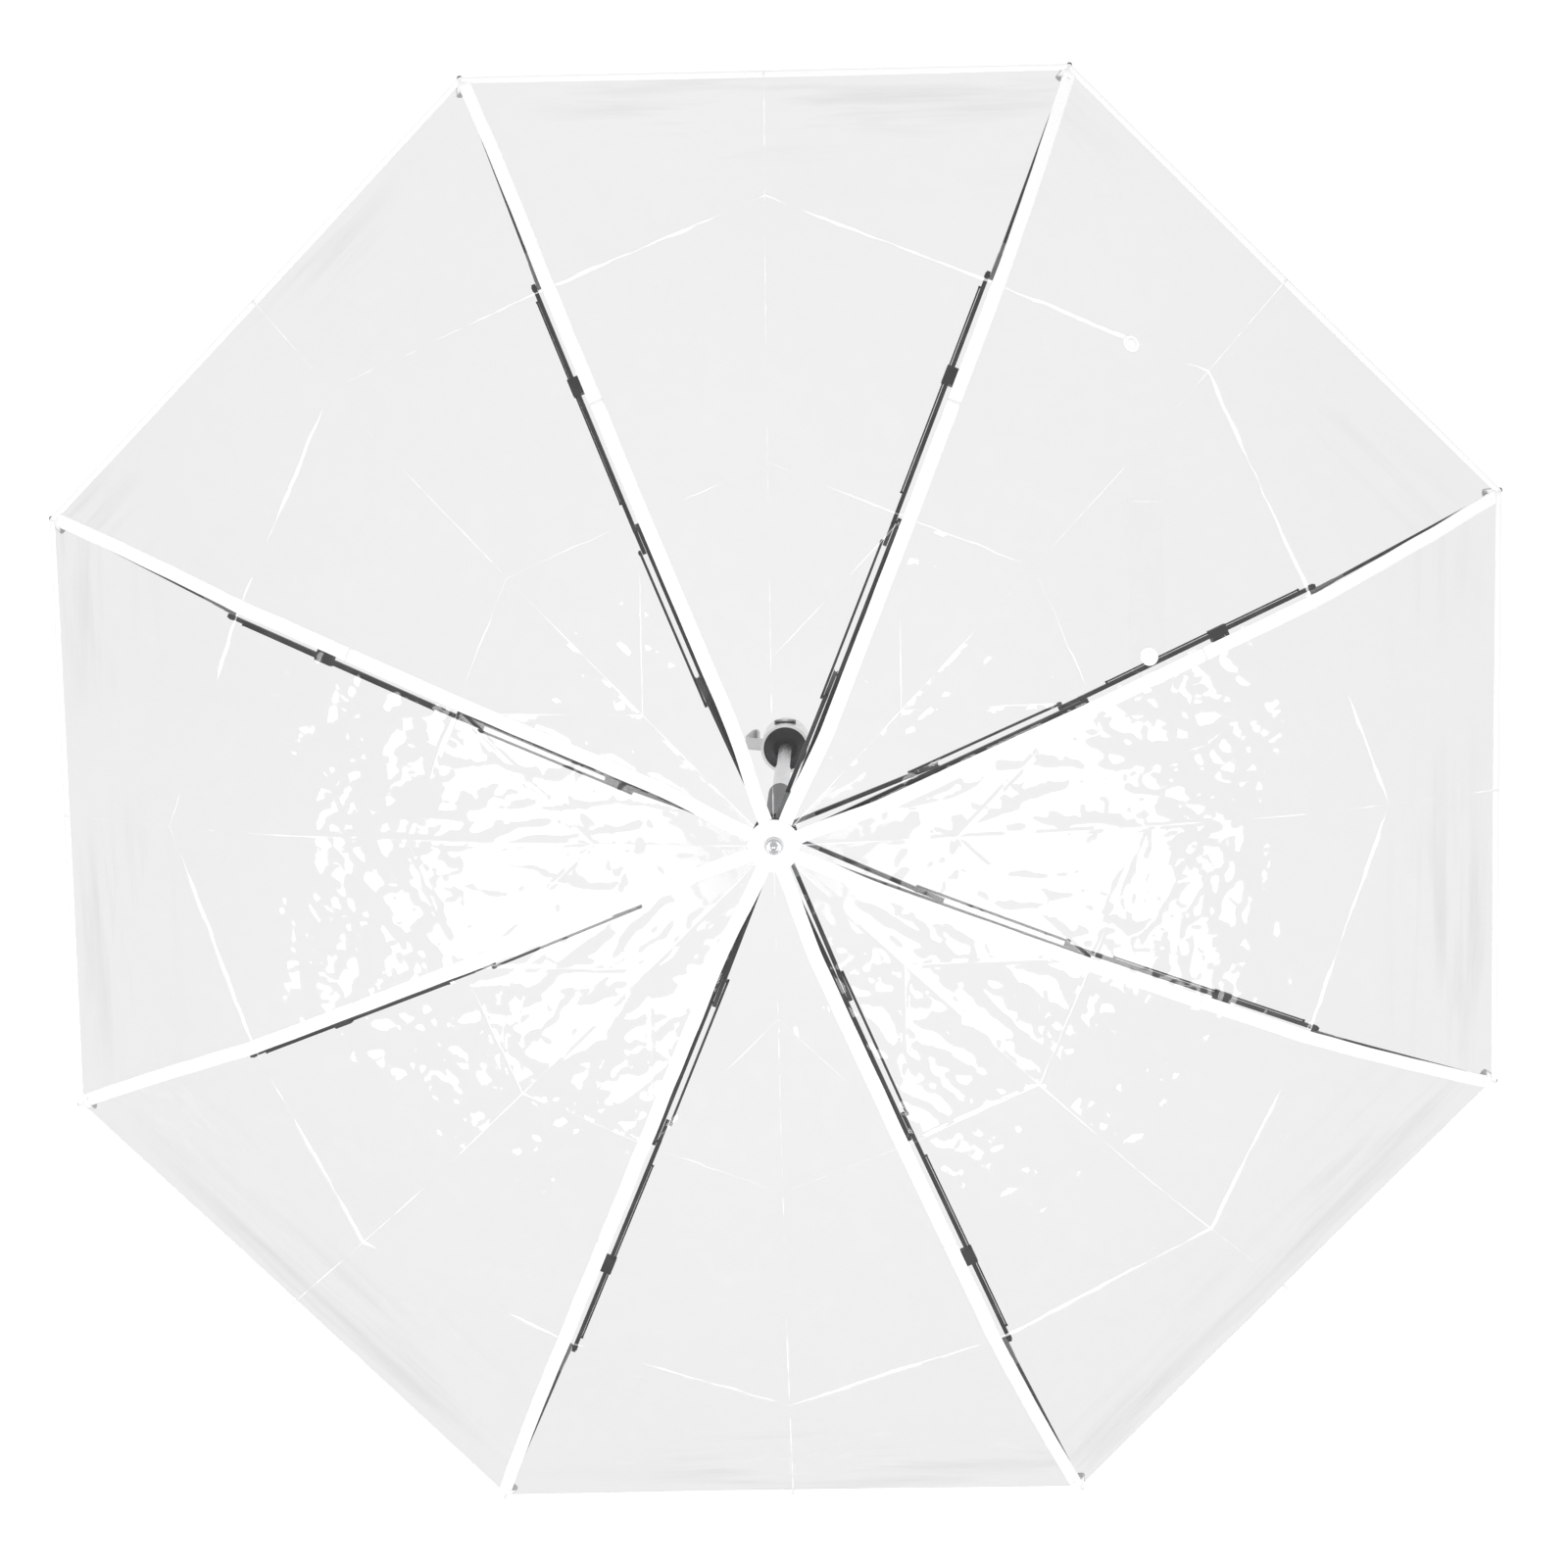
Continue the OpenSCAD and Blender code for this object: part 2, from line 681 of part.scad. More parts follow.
module strap_pin() {
    color("silver") translate([-strap_x, 0, strap_z]) cross_bar(strap_pin_r, -strap_pin_half, strap_pin_half);
}

handle_shell();
handle_collar();
inner_tube();
middle_tube();
outer_tube();
main_spring();
push_button();
latch();
button_spring();
wrist_strap();
strap_pin();
crown();
crown_wire();
finial_cap();
runner();
runner_wire();
canopy();
canopy_trim();
closure_strap();
snap_buttons();
for (k = [1 : arm_count]) {
    top_rib(k);
    stretcher(k);
    connecting_rod(k);
    mid_rib(k);
    tip_rib(k);
}
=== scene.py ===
"""Looks of the compact clear umbrella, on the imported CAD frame.

Positions are in metres in the CAD's frame: the origin is in the grip, and +Z points up the shaft.
Each arm of the frame has its own local axes: x runs out along the arm, y runs across it, z is up.
"""

import json
import math

import bpy
from mathutils import Matrix, Vector, noise


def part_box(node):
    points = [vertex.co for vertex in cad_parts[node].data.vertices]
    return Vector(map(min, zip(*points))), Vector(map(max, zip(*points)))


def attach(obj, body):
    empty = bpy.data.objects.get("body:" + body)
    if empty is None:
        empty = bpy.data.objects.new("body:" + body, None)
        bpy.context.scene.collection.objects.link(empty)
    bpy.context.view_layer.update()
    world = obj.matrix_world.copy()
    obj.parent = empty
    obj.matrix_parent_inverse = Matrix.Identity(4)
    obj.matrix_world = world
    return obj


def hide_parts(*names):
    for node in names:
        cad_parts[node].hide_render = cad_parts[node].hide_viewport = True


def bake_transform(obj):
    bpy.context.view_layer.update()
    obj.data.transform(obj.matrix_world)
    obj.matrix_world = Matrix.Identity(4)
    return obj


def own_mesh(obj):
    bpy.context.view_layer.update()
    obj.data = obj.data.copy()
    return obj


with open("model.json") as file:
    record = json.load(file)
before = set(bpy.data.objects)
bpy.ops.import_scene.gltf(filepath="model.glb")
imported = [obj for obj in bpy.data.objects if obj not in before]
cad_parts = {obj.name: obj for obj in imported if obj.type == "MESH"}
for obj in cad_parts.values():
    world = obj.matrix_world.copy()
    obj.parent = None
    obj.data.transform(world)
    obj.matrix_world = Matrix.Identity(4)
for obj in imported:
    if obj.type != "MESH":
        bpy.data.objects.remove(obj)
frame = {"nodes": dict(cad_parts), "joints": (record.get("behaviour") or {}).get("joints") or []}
noise.seed_set(1)  # noise_vector is otherwise seeded from the clock, so shapes would vary
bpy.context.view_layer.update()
MM = 0.001

# ---------------------------------------------------------------- the arm's line, from the joints

ARMS = range(1, 9)
ARM_STEP = math.radians(45)
HALF_TAN = math.tan(ARM_STEP / 2)
JOINTS = {j["name"]: j for j in frame["joints"]}


def on_arm(joint):
    """A joint of the first arm as (distance from the shaft's axis, height)."""
    x, y, z = JOINTS[joint]["pos_m"]
    return Vector((math.hypot(x, y), z))


CROWN, ELBOW, KNEE = on_arm("canopy_fold"), on_arm("mid_hinge_1"), on_arm("tip_hinge_1")
TIP_DROOP = math.radians(35)
TIP_LENGTH = 172 * MM
TIP_ALONG = Vector((math.cos(TIP_DROOP), -math.sin(TIP_DROOP)))
TIP = KNEE + TIP_LENGTH * TIP_ALONG
FILM_LIFT = 3.3 * MM  # of the film over the ribs' hinges
STAR_R = 14.5 * MM
RIM_INSET = 2 * MM  # of the film's corner from the rib's tip


def droop(a, b):
    """How far below level the line from a to b points."""
    return math.atan2(a.y - b.y, b.x - a.x)


def lifted(point, angle):
    """The film's height over a hinge whose ribs droop by angle on average."""
    return point + FILM_LIFT * Vector((math.sin(angle), math.cos(angle)))


TOP_DROOP, MID_DROOP = droop(CROWN, ELBOW), droop(ELBOW, KNEE)
APEX = Vector((3.4 * MM, CROWN.y + 6.3 * MM))
SHOULDER = Vector((STAR_R, CROWN.y + 5.5 * MM))
FILM_ELBOW = lifted(ELBOW, (TOP_DROOP + MID_DROOP) / 2)
FILM_KNEE = lifted(KNEE, (MID_DROOP + TIP_DROOP) / 2)
RIM = lifted(TIP - RIM_INSET * TIP_ALONG, TIP_DROOP)
PROFILE = [APEX, SHOULDER, FILM_ELBOW, FILM_KNEE, RIM]


def arm_turn(k):
    """The turn from arm k's local axes to the frame's."""
    return Matrix.Rotation(ARM_STEP * (k - 0.5), 4, "Z")


# ---------------------------------------------------------------- node helpers


def material(name):
    """A new material and its empty node tree."""
    m = bpy.data.materials.new(name)
    m.use_nodes = True
    m.node_tree.nodes.clear()
    return m, m.node_tree


def add(tree, kind, **values):
    """A node, with its sockets and properties set by name. A socket's spaces are underscores."""
    n = tree.nodes.new(kind)
    for key, value in values.items():
        socket = key.replace("_", " ")
        if socket in n.inputs:
            n.inputs[socket].default_value = value
        else:
            setattr(n, key, value)
    return n


def link(tree, a, b):
    tree.links.new(a, b)


def coords(tree, scale=(1, 1, 1)):
    """The place on the object, in metres."""
    place = add(tree, "ShaderNodeTexCoord")
    mapping = add(tree, "ShaderNodeMapping", Scale=scale)
    link(tree, place.outputs["Object"], mapping.inputs["Vector"])
    return mapping.outputs[0]


def noise_at(tree, where, scale, detail=3.0, roughness=0.5):
    """Soft noise of about that many waves a metre."""
    n = add(tree, "ShaderNodeTexNoise", Scale=scale, Detail=detail, Roughness=roughness)
    link(tree, where, n.inputs["Vector"])
    return n.outputs["Fac"]


def maths(tree, operation, a, b=None, clamp=False):
    """A sum on two values, each a socket or a number."""
    n = add(tree, "ShaderNodeMath", operation=operation, use_clamp=clamp)
    for socket, value in zip(n.inputs, (a, b)):
        if isinstance(value, (int, float)):
            socket.default_value = value
        elif value is not None:
            link(tree, value, socket)
    return n.outputs[0]


def spread(tree, value, low, high, out_low, out_high):
    """Value moved from the range low to high into the range out_low to out_high, and held in it."""
    n = add(
        tree, "ShaderNodeMapRange", From_Min=low, From_Max=high, To_Min=out_low, To_Max=out_high
    )
    link(tree, value, n.inputs["Value"])
    return n.outputs[0]


def mixed(tree, factor, a, b):
    """Colour a where factor is 0 and b where it is 1."""
    n = add(tree, "ShaderNodeMix", data_type="RGBA")
    link(tree, factor, n.inputs[0])
    for socket, colour in ((n.inputs[6], a), (n.inputs[7], b)):
        if isinstance(colour, tuple):
            socket.default_value = (*colour, 1)
        else:
            link(tree, colour, socket)
    return n.outputs[2]


def tinted(tree, base, tint):
    """Base colour times tint."""
    n = add(tree, "ShaderNodeMix", data_type="RGBA", blend_type="MULTIPLY")
    n.inputs[0].default_value = 1.0
    link(tree, base, n.inputs[6])
    link(tree, tint, n.inputs[7])
    return n.outputs[2]


def roughened(tree, shader, grain, rough):
    """Roughness about rough, a little less and more with the grain."""
    link(tree, spread(tree, grain, 0.3, 0.7, rough * 0.85, rough * 1.2), shader.inputs["Roughness"])


def bumped(tree, shader, height, distance, strength=1.0):
    """Relief from height, of that distance, on the shader's normal."""
    n = add(tree, "ShaderNodeBump", Distance=distance, Strength=strength)
    link(tree, height, n.inputs["Height"])
    link(tree, n.outputs[0], shader.inputs["Normal"])


def finish_material(tree, shader):
    """The shader on the material's surface."""
    out = add(tree, "ShaderNodeOutputMaterial")
    link(tree, shader.outputs[0], out.inputs["Surface"])


def solid(
    name, dark, light, rough, grain=900.0, bump=0.02, metallic=0.0, stretch=(1, 1, 1), coat=0.0
):
    """A solid material whose colour, roughness and relief vary with a grain. Bump is in mm."""
    m, tree = material(name)
    s = add(tree, "ShaderNodeBsdfPrincipled", Metallic=metallic, Coat_Weight=coat)
    where = coords(tree, stretch)
    fine = noise_at(tree, where, grain)
    broad = noise_at(tree, where, grain / 30, 2.0)
    link(tree, mixed(tree, broad, dark, light), s.inputs["Base Color"])
    roughened(tree, s, fine, rough)
    bumped(tree, s, fine, bump * MM)
    finish_material(tree, s)
    return m


PLACES = "places"  # the UV map of a point's place on its own sheet or tape, in metres
WAVE_PERIOD = 2 * math.pi / 20  # of the wave texture at a scale of 1


def woven(name, dark, light, thread):
    """Plain woven tape with threads that far apart, along and across the tape."""
    m, tree = material(name)
    s = add(tree, "ShaderNodeBsdfPrincipled", Roughness=0.75, Sheen_Weight=0.25)
    place = add(tree, "ShaderNodeUVMap", uv_map=PLACES)
    waves = []
    for axis in ("X", "Y"):
        wave = add(
            tree, "ShaderNodeTexWave", bands_direction=axis, Scale=WAVE_PERIOD / thread,
            Distortion=0.4,
        )
        link(tree, place.outputs[0], wave.inputs["Vector"])
        waves.append(wave.outputs["Fac"])
    weave = maths(tree, "MULTIPLY", *waves)
    soiling = noise_at(tree, coords(tree), 120.0, 3.0)
    thread_colour = mixed(tree, weave, dark, light)
    worn = mixed(tree, soiling, (0.97, 0.97, 0.97), (1, 1, 1))
    link(tree, tinted(tree, thread_colour, worn), s.inputs["Base Color"])
    bumped(tree, s, weave, 0.12 * MM, 0.6)
    finish_material(tree, s)
    return m


def by_radius(name, inner, outer, radius, rough):
    """Moulded plastic within a radius of the shaft's axis, and coated metal beyond it."""
    m, tree = material(name)
    s = add(tree, "ShaderNodeBsdfPrincipled")
    where = coords(tree)
    flat = add(tree, "ShaderNodeVectorMath", operation="MULTIPLY")
    flat.inputs[1].default_value = (1, 1, 0)
    link(tree, where, flat.inputs[0])
    length = add(tree, "ShaderNodeVectorMath", operation="LENGTH")
    link(tree, flat.outputs[0], length.inputs[0])
    beyond = maths(tree, "GREATER_THAN", length.outputs["Value"], radius)
    grain = noise_at(tree, where, 700.0)
    tint = mixed(tree, grain, (0.9, 0.9, 0.9), (1, 1, 1))
    base = mixed(tree, beyond, inner, outer)
    link(tree, tinted(tree, base, tint), s.inputs["Base Color"])
    roughened(tree, s, grain, rough)
    bumped(tree, s, grain, 0.02 * MM)
    finish_material(tree, s)
    return m


# ---------------------------------------------------------------- the clear film's material

HEAD_ON = 0.04  # the share of light that clear plastic mirrors head-on
FOLD_LINES = (ELBOW.x + 4.5 * MM, KNEE.x - 3 * MM)
INNER_FOLD = 105 * MM  # where the inner fold line meets the gore's middle
CALM_FROM, CALM_TO = 250 * MM, 360 * MM  # the film's wrinkles fade out between these
CRACKLE = 1.3 * MM
# painted shade of the rim's folds: the film darkens between these distances out, by this tint
FOLD_SHADE_FROM, FOLD_SHADE_TO = 360 * MM, 425 * MM
FOLD_SHADE_TINT = 0.86
SHINE_FROM, SHINE_TO = 30 * MM, 110 * MM  # less is mirrored near the crown, where the film is slack


def fold_distances(tree, x, side):
    """Distances to the nearest inner fold line and to the outer one, from the place on the arm."""
    middle = maths(tree, "SUBTRACT", maths(tree, "MULTIPLY", x, HALF_TAN), side)
    turn = math.atan2(
        INNER_FOLD * math.sin(ARM_STEP / 2), ELBOW.x - INNER_FOLD * math.cos(ARM_STEP / 2)
    )
    inner = maths(tree, "MULTIPLY", maths(tree, "SUBTRACT", x, ELBOW.x), math.sin(turn))
    inner = maths(tree, "ADD", inner, maths(tree, "MULTIPLY", side, math.cos(turn)))
    inner = maths(tree, "ABSOLUTE", inner)
    first, second = (
        maths(tree, "ABSOLUTE", maths(tree, "SUBTRACT", x, line)) for line in FOLD_LINES
    )
    return maths(tree, "MINIMUM", maths(tree, "MINIMUM", middle, inner), first), second


def painted_rim_fold_shade(tree, where, x, side):
    """Painted shade of the soft folds along the rim, where the film's edge is gathered.

    They come and go round the canopy.
    """
    out = maths(tree, "MULTIPLY", x, math.cos(ARM_STEP / 2))
    out = maths(tree, "ADD", out, maths(tree, "MULTIPLY", side, math.sin(ARM_STEP / 2)))
    drift = noise_at(tree, where, 4.0, 2.0)
    place = add(tree, "ShaderNodeCombineXYZ")
    link(tree, maths(tree, "ADD", out, maths(tree, "MULTIPLY", drift, 9 * MM)), place.inputs[0])
    link(tree, maths(tree, "MULTIPLY", side, 0.06), place.inputs[1])
    link(tree, maths(tree, "MULTIPLY", drift, 0.03), place.inputs[2])
    streak = spread(tree, noise_at(tree, place.outputs[0], 75.0, 3.0, 0.6), 0.48, 0.72, 0.0, 1.0)
    near_rim = spread(tree, out, FOLD_SHADE_FROM, FOLD_SHADE_TO, 0.0, 1.0)
    patchy = spread(tree, noise_at(tree, where, 5.0, 1.0), 0.4, 0.56, 0.0, 1.0)
    return maths(tree, "MULTIPLY", maths(tree, "MULTIPLY", streak, near_rim), patchy)


def clear_film(name, pass_tint, mirror_gain, haze, vary, folded=False):
    """Clear soft film, which passes most light, mirrors lamps and clouds along its wrinkles.

    Pass_tint is what it lets through and vary how much that varies, mirror_gain multiplies what it
    mirrors, and haze is its greatest cloudiness. Folded adds fold lines, partly their real frosting
    and partly a painted highlight, and painted shade of the folds at the rim.
    """
    m, tree = material(name)
    where = coords(tree)
    large = noise_at(tree, where, 22.0, 2.0, 0.5)
    fine = noise_at(tree, where, 75.0, 1.0, 0.45)
    bump = add(tree, "ShaderNodeBump", Distance=2.0 * MM, Strength=0.5)
    link(tree, large, bump.inputs["Height"])
    layers = [(fine, 0.05 * MM)]
    cloudy = spread(tree, fine, 0.5, 0.8, haze * 0.2, haze)
    darker = tuple(c * (1 - vary) for c in pass_tint)
    colour = mixed(tree, noise_at(tree, where, 7.0, 3.0, 0.6), darker, pass_tint)
    shine = 1.0
    if folded:
        uv = add(tree, "ShaderNodeUVMap", uv_map=PLACES)
        place = add(tree, "ShaderNodeSeparateXYZ")
        link(tree, uv.outputs[0], place.inputs[0])
        along, side = place.outputs[0], place.outputs[1]
        waver = maths(tree, "SUBTRACT", noise_at(tree, where, 60.0), 0.5)
        waver = maths(tree, "MULTIPLY", waver, 3.0 * MM)
        near, outer = fold_distances(tree, maths(tree, "ADD", along, waver), side)
        worn = spread(tree, noise_at(tree, where, 16.0, 3.0, 0.6), 0.4, 0.6, 0.0, 1.0)
        ridge = spread(tree, maths(tree, "MINIMUM", near, outer), 0.0, 2.5 * MM, 1.0, 0.0)
        ridge = maths(tree, "MULTIPLY", ridge, worn)
        calm = spread(tree, along, CALM_FROM, CALM_TO, 1.0, 0.2)
        layers = [(maths(tree, "MULTIPLY", fine, calm), CRACKLE), (ridge, 0.45 * MM)]
        # masks of the fold lines, which carry a painted highlight below
        lines = [
            maths(tree, "SUBTRACT", maths(tree, "MULTIPLY", worn, width), distance)
            for width, distance in ((0.45 * MM, near), (1.3 * MM, outer))
        ]
        line = maths(tree, "MULTIPLY", maths(tree, "MAXIMUM", *lines), 1 / (0.5 * MM), True)
        # the fold lines cloud over: partly the real frosting of creased film, partly a painted
        # highlight
        cloudy = maths(tree, "MAXIMUM", cloudy, maths(tree, "MULTIPLY", line, 0.5))
        # painted shade: darker bands along the rim stand for the shading of its gathered folds
        rim_fold_shade = painted_rim_fold_shade(tree, where, along, side)
        colour = mixed(tree, rim_fold_shade, colour, tuple(c * FOLD_SHADE_TINT for c in pass_tint))
        # painted highlight: along the fold lines the film passes all light, so they read brighter
        colour = mixed(tree, line, colour, (1, 1, 1))
        shine = spread(tree, along, SHINE_FROM, SHINE_TO, 0.2, 1.0)
    for height, distance in layers:
        top = add(tree, "ShaderNodeBump", Distance=distance)
        link(tree, height, top.inputs["Height"])
        link(tree, bump.outputs[0], top.inputs["Normal"])
        bump = top
    clear = add(tree, "ShaderNodeBsdfTransparent")
    link(tree, colour, clear.inputs["Color"])
    gloss = add(tree, "ShaderNodeBsdfGlossy", Color=(1, 1, 1, 1), Roughness=0.06)
    link(tree, bump.outputs[0], gloss.inputs["Normal"])
    edge = add(tree, "ShaderNodeLayerWeight", Blend=0.5)
    link(tree, bump.outputs[0], edge.inputs["Normal"])
    grazing = maths(tree, "POWER", edge.outputs["Facing"], 5.0)
    grazing = maths(tree, "MULTIPLY", grazing, (1 - HEAD_ON) * mirror_gain)
    mirror = add(tree, "ShaderNodeMixShader")
    reflected = maths(tree, "ADD", grazing, HEAD_ON * mirror_gain)
    link(tree, maths(tree, "MULTIPLY", reflected, shine, True), mirror.inputs[0])
    link(tree, clear.outputs[0], mirror.inputs[1])
    link(tree, gloss.outputs[0], mirror.inputs[2])
    cloud = add(tree, "ShaderNodeBsdfDiffuse", Color=(0.93, 0.94, 0.95, 1))
    both = add(tree, "ShaderNodeMixShader")
    link(tree, cloudy, both.inputs[0])
    link(tree, mirror.outputs[0], both.inputs[1])
    link(tree, cloud.outputs[0], both.inputs[2])
    finish_material(tree, both)
    return m


# ---------------------------------------------------------------- the materials

FILM = clear_film("film", (0.76, 0.76, 0.76), 1.4, 0.03, 0.03, folded=True)
STRAP_FILM = clear_film("strap_film", (1, 1, 1), 0.2, 0.006, 0.005)
WHITE = solid(
    "handle_white", (0.86, 0.86, 0.85), (0.89, 0.89, 0.88), 0.28, 400.0, 0.0012, coat=0.2
)
BLACK = solid("black_plastic", (0.012, 0.012, 0.013), (0.022, 0.022, 0.024), 0.35, 800.0)
PALE = solid("pale_plastic", (0.7, 0.71, 0.71), (0.78, 0.79, 0.79), 0.35, 700.0)
RUNNER = solid("runner_plastic", (0.03, 0.03, 0.032), (0.05, 0.05, 0.052), 0.5, 900.0, 0.03)
BRIGHT = solid(
    "bright_tube", (0.62, 0.63, 0.64), (0.74, 0.75, 0.76), 0.25, 900.0, 0.01, 1.0, (1, 1, 0.05)
)
DARK_TUBE = solid("black_tube", (0.02, 0.02, 0.022), (0.035, 0.035, 0.038), 0.4, 1200.0, 0.01)
WIRE = solid("bare_wire", (0.45, 0.45, 0.46), (0.6, 0.6, 0.6), 0.3, 900.0, 0.01, 1.0)
RIB = solid("dark_rib", (0.02, 0.02, 0.022), (0.045, 0.045, 0.048), 0.38, 900.0, 0.015, 0.3)
STRETCHER = by_radius(
    "stretcher_two_parts", (0.32, 0.33, 0.34), (0.06, 0.06, 0.065), 27 * MM, 0.42
)
TIP_ROD = by_radius(
    "tip_joint_and_rod", (0.24, 0.24, 0.25), (0.03, 0.03, 0.032), KNEE.x + 22 * MM, 0.45
)
TAPE = woven("white_tape", (0.88, 0.88, 0.88), (0.97, 0.97, 0.97), 0.35 * MM)
WEBBING = woven("white_webbing", (0.74, 0.74, 0.73), (0.94, 0.94, 0.93), 0.5 * MM)
ICON = solid("icon_white", (0.8, 0.8, 0.8), (0.9, 0.9, 0.9), 0.4, 900.0)

CAD_LOOKS = {
    "handle_shell": WHITE, "handle_collar": BLACK, "push_button": BLACK, "latch": WIRE,
    "inner_tube": BRIGHT, "middle_tube": BRIGHT, "outer_tube": DARK_TUBE, "crown": PALE,
    "strap_pin": WIRE, "crown_wire": WIRE, "runner_wire": WIRE, "runner": RUNNER,
}
ARM_LOOKS = {
    "top_rib": RIB, "stretcher": STRETCHER, "connecting_rod": RIB, "mid_rib": RIB,
    "tip_rib": TIP_ROD,
}
for k in ARMS:
    CAD_LOOKS.update({f"{part}_{k}": look for part, look in ARM_LOOKS.items()})
for node, look in CAD_LOOKS.items():
    for slot in frame["nodes"][node].material_slots:
        slot.material = look


# ---------------------------------------------------------------- mesh helpers


def piece(name, verts, faces, body, look, smooth=True, places=None):
    """An object of these faces on a body. Places are its points' places on its sheet or tape."""
    mesh = bpy.data.meshes.new(name)
    mesh.from_pydata([tuple(v) for v in verts], [], faces)
    mesh.validate()
    if places:
        uv = mesh.uv_layers.new(name=PLACES)
        for loop in mesh.loops:
            uv.data[loop.index].uv = places[loop.vertex_index]
    mesh.polygons.foreach_set("use_smooth", [smooth] * len(mesh.polygons))
    mesh.materials.append(look)
    obj = bpy.data.objects.new(name, mesh)
    bpy.context.scene.collection.objects.link(obj)
    if body:
        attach(obj, body)
    return obj


def grid_faces(rows, columns, first=0, turned=False):
    """Quads of a grid of rows by columns points."""
    faces = []
    for i in range(rows - 1):
        for j in range(columns - 1):
            a = first + i * columns + j
            face = (a, a + 1, a + columns + 1, a + columns)
            faces.append(face[::-1] if turned else face)
    return faces


def ring_faces(rings, around, turned=False):
    """Quads between rings of points, each ring closed on itself."""
    faces = []
    for i in range(rings - 1):
        for j in range(around):
            a, b = i * around + j, i * around + (j + 1) % around
            face = (a, b, b + around, a + around)
            faces.append((a, a + around, b + around, b) if turned else face)
    return faces


def end_faces(count, around):
    """The first ring of count points as one face as it runs, and the last ring turned."""
    return [tuple(range(around)), tuple(range(count - 1, count - around - 1, -1))]


def slab(rows, thickness):
    """A closed thin solid from a grid of (point, up) pairs, whose points are its lower side."""
    n, m = len(rows), len(rows[0])
    lower = [p for row in rows for p, up in row]
    upper = [p + up * thickness for row in rows for p, up in row]
    faces = grid_faces(n, m, 0, True) + grid_faces(n, m, n * m)
    rim = [(0, j) for j in range(m)] + [(i, m - 1) for i in range(1, n)]
    rim += [(n - 1, j) for j in range(m - 2, -1, -1)] + [(i, 0) for i in range(n - 2, 0, -1)]
    index = [i * m + j for i, j in rim]
    for a, b in zip(index, index[1:] + index[:1]):
        faces.append((a, b, n * m + b, n * m + a))
    return lower + upper, faces


# ---------------------------------------------------------------- the film's surface


def soft_hinge(t, width):
    """0 before a bend and t after it, rounded over width on each side."""
    if t <= -width:
        return 0.0
    if t >= width:
        return t
    return (t + width) ** 2 / (4 * width)


def ramp(value, start, length):
    """0 up to start, 1 from start + length on, and straight between them."""
    return min(1.0, max(0.0, (value - start) / length))


def profile_height(x, rounding):
    """The height of the film's bent line over a rib at x, with its bends rounded."""
    a, b = PROFILE[0], PROFILE[1]
    slope = (b.y - a.y) / (b.x - a.x)
    height = a.y + slope * (x - a.x)
    for b, c in zip(PROFILE[1:], PROFILE[2:]):
        turn = (c.y - b.y) / (c.x - b.x) - slope
        height += turn * soft_hinge(x - b.x, rounding)
        slope += turn
    return height


HINGE_ROUNDING = 3 * MM
GORE_SAG = 0.035  # of the film's dip between two ribs, as a share of the half gore's width
TAUT_SIDE = 12 * MM  # the film lies flat on its rib, and is free to wrinkle from here
TAUT_CROWN, CROWN_RAMP = 18 * MM, 35 * MM
RIM_RAMP = 30 * MM
PLEATS_FROM, PLEATS_RAMP = 120 * MM, 200 * MM


def crease(place, sharpness):
    """1 along the lines where the noise at a place is zero, falling to 0 beside them."""
    return max(0.0, 1 - abs(noise.noise(place)) * sharpness)


def film_height(x, y, k):
    """The film's height at a place in arm k's local axes, with its creases and crumples."""
    side = abs(y)
    edge = x * HALF_TAN
    share = min(1.0, side / max(edge, 1e-6))
    height = profile_height(x + side * HALF_TAN, HINGE_ROUNDING + 0.35 * side)
    free = ramp(side, 0, TAUT_SIDE) * ramp(x, TAUT_CROWN, CROWN_RAMP)
    to_rim = ramp(RIM.x - x - side * HALF_TAN, 0, RIM_RAMP)
    height -= GORE_SAG * edge * math.sin(math.pi * min(1.0, share)) * 0.35 * to_rim
    place = arm_turn(k) @ Vector((x, y, 0))
    reach = math.hypot(x, y)
    calm = 1 - 0.7 * ramp(reach, CALM_FROM, CALM_TO - CALM_FROM)
    bent = place + 12 * MM * noise.noise_vector(place * 14)
    wide = noise.noise(place * 13 + Vector((3.1, 7.7, 0)))
    ridged = crease(bent * 26 + Vector((11.0, 2.0, 5.0)), 2.6)
    short = crease(bent * 58 + Vector((1.0, 9.0, 3.0)), 2.6)
    along = x * math.cos(ARM_STEP / 2) + side * math.sin(ARM_STEP / 2)
    across = (edge - side) * math.cos(ARM_STEP / 2) * (1 if y > 0 else -1)
    gore = (k if y > 0 else k - 1) % len(ARMS)
    streak = Vector((along * 15 + across * 9, across * 52, gore * 7.3))
    pleat = crease(streak, 2.2)
    inner = 1 - ramp(reach, PLEATS_FROM, PLEATS_RAMP)
    crumple = 1.6 * MM * wide + calm * (0.8 * MM * ridged**2 + 0.3 * MM * short**2)
    crumple += 0.8 * MM * inner * pleat**2
    return height + free * (0.35 + 0.65 * to_rim) * crumple


def film_point(x, y, k, lift=0.0):
    """The film's point at a place in arm k's local axes, in the frame's axes."""
    return arm_turn(k) @ Vector((x, y, film_height(x, y, k) + lift))


ROWS, COLUMNS = ((64, 40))
# Each piece of half a gore: where it starts, where it ends (None is the rim), and its rib's droop.
SEGMENTS = {
    "top": (SHOULDER.x, FILM_ELBOW.x, TOP_DROOP),
    "mid": (FILM_ELBOW.x, FILM_KNEE.x, MID_DROOP),
    "tip": (FILM_KNEE.x, None, TIP_DROOP),
}
BEYOND = {"top": MID_DROOP, "mid": TIP_DROOP, "tip": TIP_DROOP}  # the next rib's droop


